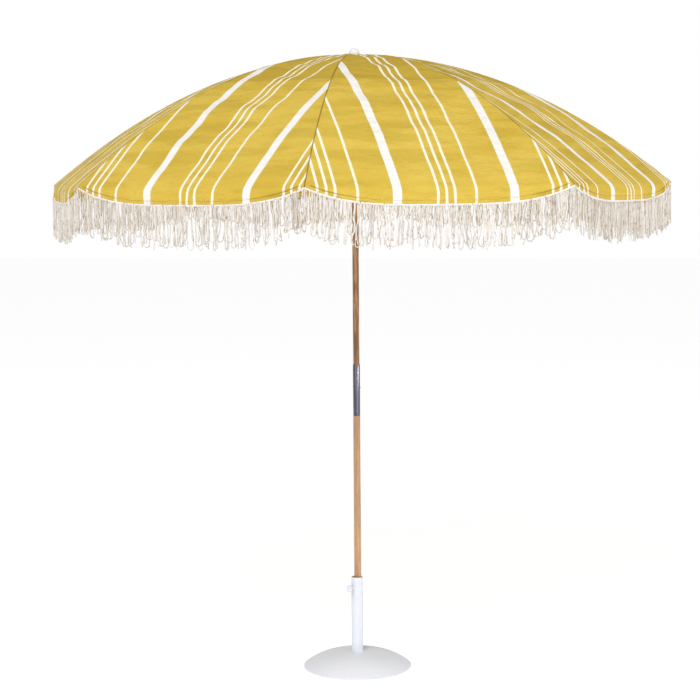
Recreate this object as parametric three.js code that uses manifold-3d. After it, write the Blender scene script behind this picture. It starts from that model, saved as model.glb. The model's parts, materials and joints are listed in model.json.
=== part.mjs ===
// Beach umbrella on a heavy round base: eight curved ribs under a striped canopy with a
// scalloped, fringed hem, a two-piece wooden pole joined by a ferrule, and a tube socket
// whose thumb screw clamps the pole. Millimetres, +Z up, origin on the ground under the pole.

import * as THREE from 'three';
import { mergeVertices } from 'three/addons/utils/BufferGeometryUtils.js';
import Module from 'manifold-3d';

// ---------------------------------------------------------------- driving dimensions

const GAP = 0.3; // between pieces that touch
const RUNNING_GAP = 0.5; // between the sliding runner and the pole
const ROUND = 32; // facets of a large round face
const SMALL_ROUND = 12; // facets of a pin or a small bore
const BASE_ROUND = 48; // facets of the base disc
const RING_SIDES = 8; // facets around the ring wire
const OVERSHOOT = 5; // how far a cutting tool reaches past what it cuts
const EDGE_BREAK = 1; // small bevel on a turned edge

const RIB_COUNT = 8;
const CANOPY_RADIUS = 1100; // pole axis to rib tip
const CANOPY_RISE = 448; // rim to apex
const RIM_HEIGHT = 1746; // ground to the rim at the rib tips
const FABRIC = 1.5; // canvas thickness
const CANOPY_STEPS = 10; // facets along a rib
const HEM_AT_TIP = 6; // how far the hem hangs below the rim at a rib tip
const HEM_AT_MIDDLE = 59; // and half way between two ribs
const SCALLOP_POWER = 3.6; // higher is a flatter scallop with steeper ends
const HEM_STEPS = 7; // facets along half a scallop
const FRINGE_LENGTH = 138;
const FRINGE_THICKNESS = 4;

const RIB_WIDTH = 3.2;
const RIB_DEPTH = 6.5;
const RIB_INSET = 10; // rib end to the hem at the corner pocket
const RIB_HOLE_GAP = 0.5; // around the curved ring wire
const HINGE_RADIUS = 30; // pole axis to the rib hinges

const STRETCHER_JOINT_RADIUS = 440; // pole axis to the stretcher rivet on the rib
const STRETCHER_LENGTH = 520; // rivet to rivet
const STRETCHER_DEPTH = 6;
const FORK_CHEEK = 1.6;
const FORK_LENGTH = 34;
const FORK_SLOT = 28; // how far the slot runs from the rivet
const BAR_OVERLAP = 2; // of the bar inside the fork
const RIVET_RADIUS = 1.5;
const FOOT_RADIUS = 4;
const FOOT_WIDTH = 6.4;

const LOWER_POLE_RADIUS = 12.7;
const UPPER_POLE_RADIUS = 11.5;
const POINT_LENGTH = 45; // tapered foot of the lower pole
const POINT_RADIUS = 5;
const FERRULE_WALL = 0.9;
const FERRULE_HEIGHT = 917; // ground to the ferrule's lower edge
const FERRULE_LENGTH = 184;
const SPIGOT_LENGTH = 64; // of the lower pole inside the ferrule
const FERRULE_PIN_RADIUS = 1.3;
const FERRULE_PIN_RISE = 17; // above the ferrule's lower edge
const FERRULE_PIN_AZIMUTH = 13; // degrees from -Y towards +X

const BUTTON_RISE = 100; // above the ferrule's lower edge
const BUTTON_RADIUS = 4;
const BUTTON_NOSE_RADIUS = 3.2;
const BUTTON_LENGTH = 8; // of the wide part inside the pole
const BUTTON_PROUD = 3.2; // nose beyond the ferrule
const BUTTON_TIP = 1.5; // length of the rounded tip of the nose
const BUTTON_BORE_DEPTH = 17;
const SPRING_WIRE = 0.45; // wire radius
const SPRING_TURNS = 4;

const CROWN_LIP = 4; // hinge line out to the crown's edge
const CROWN_BELOW = 12; // hinge line to the underside of the crown's head
const CROWN_SKIRT_RADIUS = 18;
const CROWN_SKIRT_LENGTH = 32;
const CROWN_CEILING = 4; // hinge line down to the pole's end
const RING_WIRE = 1.2; // wire radius
const RING_GAP = 0.4;
const SLOT_SIDE_GAP = 0.3;
const SLOT_END_GAP = 0.6;

const RUNNER_LIP = 6; // foot rivets out to the runner's edge
const RUNNER_SLEEVE_RADIUS = 17;
const RUNNER_ABOVE = 5; // foot rivet to the head's top
const RUNNER_BELOW = 7; // foot rivet to the head's underside
const RUNNER_SLEEVE_ABOVE = 8;
const RUNNER_SLEEVE_BELOW = 60;

const CATCH_WIDTH = 2.4;
const CATCH_LENGTH = 46;
const CATCH_PROUD = 5; // ledge beyond the pole
const CATCH_LEDGE = 2.5; // height of the ledge's outer edge
const CATCH_ROOT = 5; // width of the leaf at its pin
const CATCH_PIN_OFFSET = 4.5; // pole axis to the pin
const CATCH_END_GAP = 3; // above and below the leaf in its slot
const CATCH_BACK = 6; // pole axis to the leaf's back at the ledge
const CATCH_SLOT_BACK = -1.5; // pole axis to the back of the pole's slot
const CATCH_PIN_RADIUS = 1.2;
const CATCH_PIN_LENGTH = 19;
const CATCH_AZIMUTH = 22.5; // degrees from +X towards +Y, between two ribs

const FINIAL_RADIUS = 19;
const FINIAL_HEIGHT = 24;
const FINIAL_EDGE = 4; // upright edge below the dome
const FINIAL_BORE = 12;
const STUD_RADIUS = 3;
const STUD_IN_POLE = 14;

const BASE_RADIUS = 195;
const BASE_EDGE = 5; // upright rim of the disc
const BASE_HEIGHT = 54; // ground to the dome where it meets the tube
const BASE_DOME_POWER = 2.6; // higher is a flatter top with a steeper shoulder
const BASE_FLOOR = 8; // iron left under the socket
const COLLAR_WIDTH = 4;
const COLLAR_HEIGHT = 2.5;
const TUBE_RADIUS = 21;
const TUBE_WALL = 3.5;
const TUBE_TOP = 329; // above the ground

const SCREW_HEIGHT = 293; // above the ground
const SCREW_AZIMUTH = -32; // degrees from -Y towards +X
const SCREW_RADIUS = 4;
const BOSS_RADIUS = 8;
const BOSS_LENGTH = 10;
const KNOB_RADIUS = 13;
const KNOB_THICKNESS = 6;
const KNOB_DISTANCE = 41.5; // tube axis to the knob's inner face

// ---------------------------------------------------------------- worked-out sizes

const HALF_GORE = Math.PI / RIB_COUNT;
const APEX_HEIGHT = RIM_HEIGHT + CANOPY_RISE;
const CANOPY_STEP = (CANOPY_RADIUS - HINGE_RADIUS) / CANOPY_STEPS;
const RIM_SLOPE = (2 * CANOPY_RISE) / CANOPY_RADIUS; // the canopy's steepest fall
// Measured upright, so that the rib's square corners are still clear of the fabric's fold at the rim.
const RIB_GAP = GAP * Math.hypot(1, RIM_SLOPE) + (RIM_SLOPE * RIB_WIDTH * Math.tan(HALF_GORE)) / 2;
const HINGE_HEIGHT = canopyHeight(HINGE_RADIUS) - FABRIC - RIB_GAP - RIB_DEPTH / 2;
const STRETCHER_TOP = ribCentre(STRETCHER_JOINT_RADIUS);
const STRETCHER_REACH = STRETCHER_TOP.x - HINGE_RADIUS;
const STRETCHER_FALL = Math.sqrt(STRETCHER_LENGTH ** 2 - STRETCHER_REACH ** 2);
const RUNNER_HEIGHT = STRETCHER_TOP.y - STRETCHER_FALL; // of the foot rivets
const CATCH_TOP = RUNNER_HEIGHT - RUNNER_SLEEVE_BELOW - GAP;
const CATCH_PIVOT = new THREE.Vector2(CATCH_PIN_OFFSET, CATCH_TOP - CATCH_LENGTH + CATCH_ROOT / 2);
const POLE_TOP = HINGE_HEIGHT - CROWN_CEILING - GAP;
const CROWN_RADIUS = HINGE_RADIUS + CROWN_LIP;
const RUNNER_RADIUS = HINGE_RADIUS + RUNNER_LIP;
const FERRULE_BORE = UPPER_POLE_RADIUS + GAP;
const FERRULE_OUTSIDE = FERRULE_BORE + FERRULE_WALL;
const JOINT_HEIGHT = FERRULE_HEIGHT + SPIGOT_LENGTH; // where the two poles meet
const BUTTON_HEIGHT = FERRULE_HEIGHT + BUTTON_RISE;
const TUBE_BORE = TUBE_RADIUS - TUBE_WALL;
const POLE_SHIFT = TUBE_BORE - LOWER_POLE_RADIUS - GAP; // the screw pushes the pole to the far wall

// Height of the fabric's upper face above a rib.
function canopyHeight(radius) {
  return APEX_HEIGHT - CANOPY_RISE * (radius / CANOPY_RADIUS) ** 2;
}

// The same on the straight facets between the canopy's steps, as [height, slope].
function facetHeight(radius) {
  const step = Math.min(Math.floor((radius - HINGE_RADIUS) / CANOPY_STEP), CANOPY_STEPS - 1);
  const inner = HINGE_RADIUS + step * CANOPY_STEP;
  const slope = (canopyHeight(inner + CANOPY_STEP) - canopyHeight(inner)) / CANOPY_STEP;
  return [canopyHeight(inner) + slope * (radius - inner), slope];
}

// A point in the rib's own plane, a given depth below the rib's upper edge.
function ribPoint(radius, depth) {
  const [height, slope] = facetHeight(radius);
  const length = Math.hypot(1, slope);
  return new THREE.Vector2(radius + (depth * slope) / length, height - FABRIC - RIB_GAP - depth / length);
}

function ribCentre(radius) {
  return ribPoint(radius, RIB_DEPTH / 2);
}

// How far the hem hangs below the rim: along is 0 at a rib tip and 1 half way to the next rib.
function hemDrop(along) {
  return HEM_AT_TIP + (HEM_AT_MIDDLE - HEM_AT_TIP) * (1 - (1 - along) ** SCALLOP_POWER);
}

// ---------------------------------------------------------------- solids

const wasm = await Module();
wasm.setup();

function toSolid(geometry) {
  geometry.deleteAttribute('normal');
  geometry.deleteAttribute('uv');
  const merged = mergeVertices(geometry, 1e-4);
  const vertProperties = new Float32Array(merged.attributes.position.array);
  const triVerts = new Uint32Array(merged.index.array);
  return new wasm.Manifold(new wasm.Mesh({ numProp: 3, vertProperties, triVerts }));
}

function toGeometry(solid) {
  const mesh = solid.getMesh();
  const geometry = new THREE.BufferGeometry();
  geometry.setAttribute('position', new THREE.BufferAttribute(mesh.vertProperties, 3));
  geometry.setIndex(new THREE.BufferAttribute(mesh.triVerts, 1));
  geometry.computeVertexNormals();
  return geometry;
}

function cut(geometry, ...tools) {
  const solids = tools.map(toSolid);
  return toGeometry(solids.reduce((body, tool) => body.subtract(tool), toSolid(geometry)));
}

function join(...geometries) {
  return toGeometry(geometries.map(toSolid).reduce((body, piece) => body.add(piece)));
}

// Revolves [radius, height] points about +Z.
function turned(points, facets = ROUND) {
  const profile = points.map(([radius, height]) => new THREE.Vector2(radius, height));
  return new THREE.LatheGeometry(profile, facets).rotateX(Math.PI / 2);
}

function rod(radius, low, high, facets = SMALL_ROUND) {
  return turned([[0, low], [radius, low], [radius, high], [0, high]], facets);
}

function sleeve(inner, outer, low, high) {
  return turned([[inner, low], [outer, low], [outer, high], [inner, high], [inner, low]]);
}

// A rod along +X, given by its two ends' distances from the axis.
function rodAlongX(radius, start, end) {
  return rod(radius, start, end).rotateY(Math.PI / 2);
}

// Extrudes an outline drawn in the XZ plane symmetrically about that plane.
function plate(outline, width) {
  const flat = new THREE.ExtrudeGeometry(outline, { depth: width, bevelEnabled: false, curveSegments: 6 });
  return flat.translate(0, 0, -width / 2).rotateX(Math.PI / 2);
}

function roundHole(centre, radius) {
  return new THREE.Path().absarc(centre.x, centre.y, radius, 0, 2 * Math.PI, true);
}

// A closed skin between two grids of points, given as rows of THREE.Vector3.
function slab(upper, lower) {
  const rows = upper.length;
  const columns = upper[0].length;
  const points = [...upper.flat(), ...lower.flat()];
  const below = rows * columns;
  const faces = [];
  const quad = (a, b, c, d) => faces.push(a, b, c, a, c, d);
  for (let row = 0; row + 1 < rows; row += 1) {
    for (let column = 0; column + 1 < columns; column += 1) {
      const a = row * columns + column;
      quad(a, a + columns, a + columns + 1, a + 1);
      quad(below + a, below + a + 1, below + a + columns + 1, below + a + columns);
    }
  }
  for (let row = 0; row + 1 < rows; row += 1) {
    const a = row * columns;
    const b = a + columns - 1;
    quad(a, below + a, below + a + columns, a + columns);
    quad(b, b + columns, below + b + columns, below + b);
  }
  for (let column = 0; column + 1 < columns; column += 1) {
    const b = (rows - 1) * columns + column;
    quad(column, column + 1, below + column + 1, below + column);
    quad(b, below + b, below + b + 1, b + 1);
  }
  const geometry = new THREE.BufferGeometry().setFromPoints(points);
  geometry.setIndex(faces);
  geometry.computeVertexNormals();
  return geometry;
}

// A point on the straight line between two rib points of one radius. The rib lies along +X,
// side is -1, 0 or 1, and along runs from 0 at the rib to 1 beside the middle of the gore.
function gorePoint(radius, side, along, height) {
  const distance = along * (radius * Math.sin(HALF_GORE) - GAP / 2);
  return new THREE.Vector3(
    radius - distance * Math.sin(HALF_GORE),
    side * distance * Math.cos(HALF_GORE),
    height,
  );
}

// ---------------------------------------------------------------- canopy

function canopyPanel() {
  const upper = [];
  for (let step = 0; step <= CANOPY_STEPS; step += 1) {
    const radius = HINGE_RADIUS + step * CANOPY_STEP;
    upper.push([-1, 0, 1].map((side) => gorePoint(radius, side, Math.abs(side), canopyHeight(radius))));
  }
  const lower = upper.map((row) => row.map((point) => point.clone().setZ(point.z - FABRIC)));
  return slab(upper, lower);
}

// A strip that hangs along the rim on both sides of a rib tip.
function hangingStrip(outerRadius, thickness, topAt, bottomAt) {
  const innerRadius = outerRadius - thickness / Math.cos(HALF_GORE);
  const outside = [[], []];
  const inside = [[], []];
  for (let step = -HEM_STEPS; step <= HEM_STEPS; step += 1) {
    const along = Math.abs(step) / HEM_STEPS;
    const side = Math.sign(step);
    outside[0].push(gorePoint(outerRadius, side, along, topAt(along)));
    outside[1].push(gorePoint(outerRadius, side, along, bottomAt(along)));
    inside[0].push(gorePoint(innerRadius, side, along, topAt(along)));
    inside[1].push(gorePoint(innerRadius, side, along, bottomAt(along)));
  }
  return slab(outside, inside);
}

function valance() {
  const top = () => RIM_HEIGHT - FABRIC - GAP;
  return hangingStrip(CANOPY_RADIUS, FABRIC, top, (along) => RIM_HEIGHT - hemDrop(along));
}

function fringe() {
  const outerRadius = CANOPY_RADIUS + (FRINGE_THICKNESS - FABRIC) / 2;
  const top = (along) => RIM_HEIGHT - hemDrop(along) - GAP;
  return hangingStrip(outerRadius, FRINGE_THICKNESS, top, (along) => top(along) - FRINGE_LENGTH);
}

// The small eight-sided patch of canvas that the finial clamps on the crown.
function topPatch() {
  const outer = HINGE_RADIUS - GAP / Math.cos(HALF_GORE);
  const hole = (STUD_RADIUS + GAP) / Math.cos(HALF_GORE);
  const top = canopyHeight(HINGE_RADIUS);
  const low = top - FABRIC;
  const profile = [[hole, low], [outer, low], [outer, top], [hole, top], [hole, low]];
  return turned(profile, RIB_COUNT);
}

// ---------------------------------------------------------------- ribs and stretchers

function rib() {
  const outline = new THREE.Shape();
  const radii = [];
  for (let step = 1; step < CANOPY_STEPS; step += 1) {
    radii.push(HINGE_RADIUS + step * CANOPY_STEP);
  }
  radii.push(CANOPY_RADIUS - RIB_INSET);
  const lower = radii.map((radius) => ribPoint(radius, RIB_DEPTH));
  const upper = radii.map((radius) => ribPoint(radius, 0)).reverse();
  outline.absarc(HINGE_RADIUS, HINGE_HEIGHT, RIB_DEPTH / 2, Math.PI / 2, (3 * Math.PI) / 2, false);
  lower.forEach((point) => outline.lineTo(point.x, point.y));
  upper.forEach((point) => outline.lineTo(point.x, point.y));
  outline.closePath();
  const hinge = new THREE.Vector2(HINGE_RADIUS, HINGE_HEIGHT);
  outline.holes.push(roundHole(hinge, RING_WIRE + RIB_HOLE_GAP));
  outline.holes.push(roundHole(STRETCHER_TOP, RIVET_RADIUS + GAP));
  return plate(outline, RIB_WIDTH);
}

// Drawn along +X from the rib rivet at the origin to the foot rivet, then laid in place.
function stretcher() {
  const half = STRETCHER_DEPTH / 2;
  const slotWidth = RIB_WIDTH + 2 * GAP;
  const forkWidth = slotWidth + 2 * FORK_CHEEK;
  const bar = new THREE.Shape();
  bar.moveTo(FORK_LENGTH - BAR_OVERLAP, -half);
  bar.lineTo(STRETCHER_LENGTH - half, -half);
  bar.lineTo(STRETCHER_LENGTH - half, half);
  bar.lineTo(FORK_LENGTH - BAR_OVERLAP, half);
  bar.closePath();
  const fork = new THREE.Shape();
  fork.absarc(0, 0, half, Math.PI / 2, (3 * Math.PI) / 2, false);
  fork.lineTo(FORK_LENGTH, -half);
  fork.lineTo(FORK_LENGTH, half);
  fork.closePath();
  const slot = new THREE.BoxGeometry(FORK_SLOT + half + OVERSHOOT, slotWidth, STRETCHER_DEPTH + OVERSHOOT);
  slot.translate((FORK_SLOT - half - OVERSHOOT) / 2, 0, 0);
  const foot = new THREE.Shape();
  foot.absarc(STRETCHER_LENGTH, 0, FOOT_RADIUS, 0, 2 * Math.PI, false);
  const rivet = rod(RIVET_RADIUS, -forkWidth / 2, forkWidth / 2).rotateX(Math.PI / 2);
  const slottedFork = cut(plate(fork, forkWidth), slot);
  const body = join(slottedFork, plate(bar, RIB_WIDTH), plate(foot, FOOT_WIDTH), rivet);
  const tilt = Math.atan2(STRETCHER_FALL, -STRETCHER_REACH);
  return body.rotateY(tilt).translate(STRETCHER_TOP.x, 0, STRETCHER_TOP.y);
}

// ---------------------------------------------------------------- crown, runner and finial

function radialSlots(inner, outer, width, low, high) {
  const slots = [];
  for (let index = 0; index < RIB_COUNT; index += 1) {
    const slot = new THREE.BoxGeometry(outer - inner, width, high - low);
    slot.translate((inner + outer) / 2, 0, (low + high) / 2);
    slots.push(slot.rotateZ(index * 2 * HALF_GORE));
  }
  return slots;
}

function ringAt(height, wire) {
  return new THREE.TorusGeometry(HINGE_RADIUS, wire, RING_SIDES, BASE_ROUND).translate(0, 0, height);
}

function crownPinHeight() {
  return HINGE_HEIGHT - CROWN_BELOW - CROWN_SKIRT_LENGTH / 2;
}

function crown() {
  const [fabricAtEdge] = facetHeight(CROWN_RADIUS / Math.cos(HALF_GORE));
  const top = fabricAtEdge - FABRIC - GAP;
  const underHead = HINGE_HEIGHT - CROWN_BELOW;
  const bottom = underHead - CROWN_SKIRT_LENGTH;
  const bore = UPPER_POLE_RADIUS + GAP;
  const ceiling = HINGE_HEIGHT - CROWN_CEILING;
  const hole = STUD_RADIUS + GAP;
  const body = turned([
    [bore, bottom], [CROWN_SKIRT_RADIUS, bottom], [CROWN_SKIRT_RADIUS, underHead],
    [CROWN_RADIUS, underHead], [CROWN_RADIUS, top], [hole, top],
    [hole, ceiling], [bore, ceiling], [bore, bottom],
  ]);
  const inner = HINGE_RADIUS - RIB_DEPTH / 2 - SLOT_END_GAP;
  const width = RIB_WIDTH + 2 * SLOT_SIDE_GAP;
  const slots = radialSlots(inner, CROWN_RADIUS + OVERSHOOT, width, underHead - OVERSHOOT, top + OVERSHOOT);
  const pinHole = rodAlongX(RIVET_RADIUS + GAP, -CROWN_RADIUS, CROWN_RADIUS);
  pinHole.translate(0, 0, crownPinHeight());
  return cut(body, ...slots, ringAt(HINGE_HEIGHT, RING_WIRE + RING_GAP), pinHole);
}

function crownPin() {
  const pin = rodAlongX(RIVET_RADIUS, -CROWN_SKIRT_RADIUS, CROWN_SKIRT_RADIUS);
  return pin.translate(0, 0, crownPinHeight());
}

function runner() {
  const bore = UPPER_POLE_RADIUS + RUNNING_GAP;
  const low = RUNNER_HEIGHT - RUNNER_BELOW;
  const high = RUNNER_HEIGHT + RUNNER_ABOVE;
  const bottom = RUNNER_HEIGHT - RUNNER_SLEEVE_BELOW;
  const top = RUNNER_HEIGHT + RUNNER_SLEEVE_ABOVE;
  const body = turned([
    [bore, bottom], [RUNNER_SLEEVE_RADIUS, bottom], [RUNNER_SLEEVE_RADIUS, low],
    [RUNNER_RADIUS, low], [RUNNER_RADIUS, high], [RUNNER_SLEEVE_RADIUS, high],
    [RUNNER_SLEEVE_RADIUS, top], [bore, top], [bore, bottom],
  ]);
  const inner = HINGE_RADIUS - FOOT_RADIUS - SLOT_END_GAP;
  const width = FOOT_WIDTH + 2 * SLOT_SIDE_GAP;
  const slots = radialSlots(inner, RUNNER_RADIUS + OVERSHOOT, width, low - OVERSHOOT, high + OVERSHOOT);
  return cut(body, ...slots);
}

function finial() {
  const low = canopyHeight(HINGE_RADIUS) + GAP;
  const bore = STUD_RADIUS + GAP;
  const profile = [[0, low + FINIAL_BORE], [bore, low + FINIAL_BORE], [bore, low], [FINIAL_RADIUS, low]];
  const arcSteps = 6;
  for (let step = 0; step < arcSteps; step += 1) {
    const angle = (step / arcSteps) * (Math.PI / 2);
    const rise = (FINIAL_HEIGHT - FINIAL_EDGE) * Math.sin(angle);
    profile.push([FINIAL_RADIUS * Math.cos(angle), low + FINIAL_EDGE + rise]);
  }
  profile.push([0, low + FINIAL_HEIGHT]);
  return turned(profile);
}

function finialStud() {
  const top = canopyHeight(HINGE_RADIUS) + FINIAL_BORE;
  return rod(STUD_RADIUS, POLE_TOP - STUD_IN_POLE + GAP, top);
}

// ---------------------------------------------------------------- pole

function lowerPole() {
  const foot = BASE_FLOOR + GAP;
  const body = turned([
    [0, foot], [POINT_RADIUS, foot], [LOWER_POLE_RADIUS, foot + POINT_LENGTH],
    [LOWER_POLE_RADIUS, FERRULE_HEIGHT - GAP], [UPPER_POLE_RADIUS, FERRULE_HEIGHT - GAP],
    [UPPER_POLE_RADIUS, JOINT_HEIGHT], [0, JOINT_HEIGHT],
  ]);
  return cut(body, ferrulePinTool(FERRULE_PIN_RADIUS + GAP, FERRULE_OUTSIDE));
}

function ferrulePinTool(radius, reach) {
  const pin = rodAlongX(radius, -reach, reach);
  pin.rotateZ(THREE.MathUtils.degToRad(FERRULE_PIN_AZIMUTH - 90));
  return pin.translate(0, 0, FERRULE_HEIGHT + FERRULE_PIN_RISE);
}

function ferrule() {
  const top = FERRULE_HEIGHT + FERRULE_LENGTH;
  const body = sleeve(FERRULE_BORE, FERRULE_OUTSIDE, FERRULE_HEIGHT, top);
  const buttonHole = rodAlongX(BUTTON_NOSE_RADIUS + GAP, 0, 2 * FERRULE_OUTSIDE);
  buttonHole.translate(0, 0, BUTTON_HEIGHT);
  return cut(body, buttonHole, ferrulePinTool(FERRULE_PIN_RADIUS + GAP, 2 * FERRULE_OUTSIDE));
}

function upperPole() {
  const body = rod(UPPER_POLE_RADIUS, JOINT_HEIGHT + GAP, POLE_TOP, ROUND);
  const studHole = rod(STUD_RADIUS + GAP, POLE_TOP - STUD_IN_POLE, POLE_TOP + OVERSHOOT);
  const boreEnd = UPPER_POLE_RADIUS - BUTTON_BORE_DEPTH;
  const reach = 2 * UPPER_POLE_RADIUS;
  const buttonBore = rodAlongX(BUTTON_RADIUS + GAP, boreEnd, reach).translate(0, 0, BUTTON_HEIGHT);
  const pinHole = rodAlongX(RIVET_RADIUS + GAP, -reach, reach).translate(0, 0, crownPinHeight());
  return cut(body, studHole, buttonBore, pinHole, catchSlot(), catchPinTool(CATCH_PIN_RADIUS + GAP, reach));
}

// Where the button's wide part ends, so that its corners stay inside the round ferrule.
function buttonStep() {
  return Math.sqrt(UPPER_POLE_RADIUS ** 2 - BUTTON_RADIUS ** 2) - GAP;
}

function snapButton() {
  const end = FERRULE_OUTSIDE + BUTTON_PROUD;
  const step = buttonStep();
  const back = step - BUTTON_LENGTH;
  const profile = [
    [0, back], [BUTTON_RADIUS, back], [BUTTON_RADIUS, step],
    [BUTTON_NOSE_RADIUS, step], [BUTTON_NOSE_RADIUS, end - BUTTON_TIP],
    [BUTTON_NOSE_RADIUS - EDGE_BREAK, end - BUTTON_TIP / 4], [0, end],
  ];
  return turned(profile, SMALL_ROUND).rotateY(Math.PI / 2).translate(0, 0, BUTTON_HEIGHT);
}

// A coil between the bottom of the bore and the button, along +X.
function buttonSpring() {
  const start = UPPER_POLE_RADIUS - BUTTON_BORE_DEPTH + GAP + SPRING_WIRE;
  const end = buttonStep() - BUTTON_LENGTH - GAP - SPRING_WIRE;
  const coilRadius = BUTTON_RADIUS - 2 * SPRING_WIRE;
  const points = [];
  const perTurn = 8;
  for (let step = 0; step <= SPRING_TURNS * perTurn; step += 1) {
    const angle = (step / perTurn) * 2 * Math.PI;
    const along = THREE.MathUtils.lerp(start, end, step / (SPRING_TURNS * perTurn));
    points.push(new THREE.Vector3(along, coilRadius * Math.cos(angle), coilRadius * Math.sin(angle)));
  }
  const section = new THREE.Shape();
  section.absarc(0, 0, SPRING_WIRE, 0, 2 * Math.PI, false);
  const geometry = new THREE.ExtrudeGeometry(section, {
    steps: SPRING_TURNS * perTurn,
    curveSegments: 3,
    bevelEnabled: false,
    extrudePath: new THREE.CatmullRomCurve3(points),
  });
  return geometry.translate(0, 0, BUTTON_HEIGHT);
}

// ---------------------------------------------------------------- runner catch

function turnCatch(geometry) {
  return geometry.rotateZ(THREE.MathUtils.degToRad(CATCH_AZIMUTH));
}

function catchSlot() {
  const depth = 2 * UPPER_POLE_RADIUS - CATCH_SLOT_BACK;
  const height = CATCH_LENGTH + 2 * CATCH_END_GAP;
  const slot = new THREE.BoxGeometry(depth, CATCH_WIDTH + 2 * GAP, height);
  return turnCatch(slot.translate(CATCH_SLOT_BACK + depth / 2, 0, CATCH_TOP - CATCH_LENGTH / 2));
}

function catchPinTool(radius, reach) {
  const pin = rod(radius, -reach, reach).rotateX(Math.PI / 2);
  return turnCatch(pin.translate(CATCH_PIVOT.x, 0, CATCH_PIVOT.y));
}

// A wedge-shaped leaf that pivots at its lower end, with a ledge under the runner's sleeve.
function runnerCatch() {
  const ledge = UPPER_POLE_RADIUS + CATCH_PROUD;
  const outline = new THREE.Shape();
  outline.absarc(CATCH_PIVOT.x, CATCH_PIVOT.y, CATCH_ROOT / 2, Math.PI, 2 * Math.PI, false);
  outline.lineTo(ledge, CATCH_TOP - CATCH_LEDGE);
  outline.lineTo(ledge, CATCH_TOP);
  outline.lineTo(CATCH_BACK, CATCH_TOP);
  outline.closePath();
  outline.holes.push(roundHole(CATCH_PIVOT, CATCH_PIN_RADIUS + GAP));
  return turnCatch(plate(outline, CATCH_WIDTH));
}

// ---------------------------------------------------------------- base

function baseDisc() {
  const socket = TUBE_RADIUS + GAP;
  const collar = TUBE_RADIUS + GAP + COLLAR_WIDTH;
  const profile = [
    [0, 0], [BASE_RADIUS - EDGE_BREAK, 0], [BASE_RADIUS, EDGE_BREAK], [BASE_RADIUS, BASE_EDGE],
  ];
  const domeSteps = 10;
  for (let step = 1; step <= domeSteps; step += 1) {
    // quarter-wave spacing puts short facets on the steep shoulder
    const across = Math.cos((step / domeSteps) * (Math.PI / 2));
    const rise = (BASE_HEIGHT - BASE_EDGE) * (1 - across ** BASE_DOME_POWER);
    profile.push([collar + (BASE_RADIUS - collar) * across, BASE_EDGE + rise]);
  }
  const collarTop = BASE_HEIGHT + COLLAR_HEIGHT;
  profile.push([collar - EDGE_BREAK, collarTop], [socket, collarTop]);
  profile.push([socket, BASE_FLOOR], [0, BASE_FLOOR]);
  return turned(profile, BASE_ROUND);
}

function screwAxis(geometry) {
  geometry.rotateZ(THREE.MathUtils.degToRad(SCREW_AZIMUTH - 90));
  return geometry.translate(0, 0, SCREW_HEIGHT);
}

function baseTube() {
  const body = sleeve(TUBE_BORE, TUBE_RADIUS, BASE_FLOOR + GAP, TUBE_TOP);
  return cut(body, screwAxis(rodAlongX(SCREW_RADIUS + GAP, 0, 2 * TUBE_RADIUS)));
}

function screwBoss() {
  const body = screwAxis(rodAlongX(BOSS_RADIUS, TUBE_BORE, TUBE_RADIUS + BOSS_LENGTH));
  const tube = rod(TUBE_RADIUS + GAP, 0, TUBE_TOP, ROUND);
  return cut(body, tube, screwAxis(rodAlongX(SCREW_RADIUS + GAP, 0, 3 * TUBE_RADIUS)));
}

function thumbScrew() {
  const tip = LOWER_POLE_RADIUS + GAP - POLE_SHIFT;
  const end = KNOB_DISTANCE + KNOB_THICKNESS;
  const profile = [[0, tip], [SCREW_RADIUS, tip], [SCREW_RADIUS, KNOB_DISTANCE]];
  profile.push([KNOB_RADIUS - EDGE_BREAK, KNOB_DISTANCE], [KNOB_RADIUS, KNOB_DISTANCE + EDGE_BREAK]);
  profile.push([KNOB_RADIUS, end - EDGE_BREAK], [KNOB_RADIUS - EDGE_BREAK, end], [0, end]);
  return screwAxis(turned(profile, ROUND).rotateY(Math.PI / 2));
}

// ---------------------------------------------------------------- assembly

const canvas = { color: 0xdcb956, roughness: 0.9, metalness: 0 };
const cotton = { color: 0xe9e2d8, roughness: 0.95, metalness: 0 };
const ribSteel = { color: 0xd8d8d4, roughness: 0.4, metalness: 0.6 };
const darkWood = { color: 0x96643c, roughness: 0.55, metalness: 0 };
const paleWood = { color: 0xc09671, roughness: 0.6, metalness: 0 };
const ferruleSteel = { color: 0x5a5560, roughness: 0.3, metalness: 1 };
const brightSteel = { color: 0xb8bcc0, roughness: 0.35, metalness: 1 };
const whiteNylon = { color: 0xe6e6e2, roughness: 0.5, metalness: 0 };
const whitePaint = { color: 0xebecf2, roughness: 0.5, metalness: 0 };

const group = new THREE.Group();

function addPart(parent, name, geometry, finish) {
  const mesh = new THREE.Mesh(geometry, new THREE.MeshStandardMaterial(finish));
  mesh.name = name;
  parent.add(mesh);
}

// The screw holds the pole against the far side of the tube, so the base stands off centre.
function addBase() {
  const base = new THREE.Group();
  const azimuth = THREE.MathUtils.degToRad(SCREW_AZIMUTH);
  base.position.set(POLE_SHIFT * Math.sin(azimuth), -POLE_SHIFT * Math.cos(azimuth), 0);
  addPart(base, 'base_disc', baseDisc(), whitePaint);
  addPart(base, 'base_tube', baseTube(), whitePaint);
  addPart(base, 'screw_boss', screwBoss(), whitePaint);
  addPart(base, 'thumb_screw', thumbScrew(), whitePaint);
  group.add(base);
}

function addPole() {
  addPart(group, 'lower_pole', lowerPole(), paleWood);
  addPart(group, 'ferrule', ferrule(), ferruleSteel);
  addPart(group, 'ferrule_pin', ferrulePinTool(FERRULE_PIN_RADIUS, FERRULE_OUTSIDE), brightSteel);
  addPart(group, 'snap_button', snapButton(), brightSteel);
  addPart(group, 'button_spring', buttonSpring(), brightSteel);
  addPart(group, 'upper_pole', upperPole(), darkWood);
}

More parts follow.
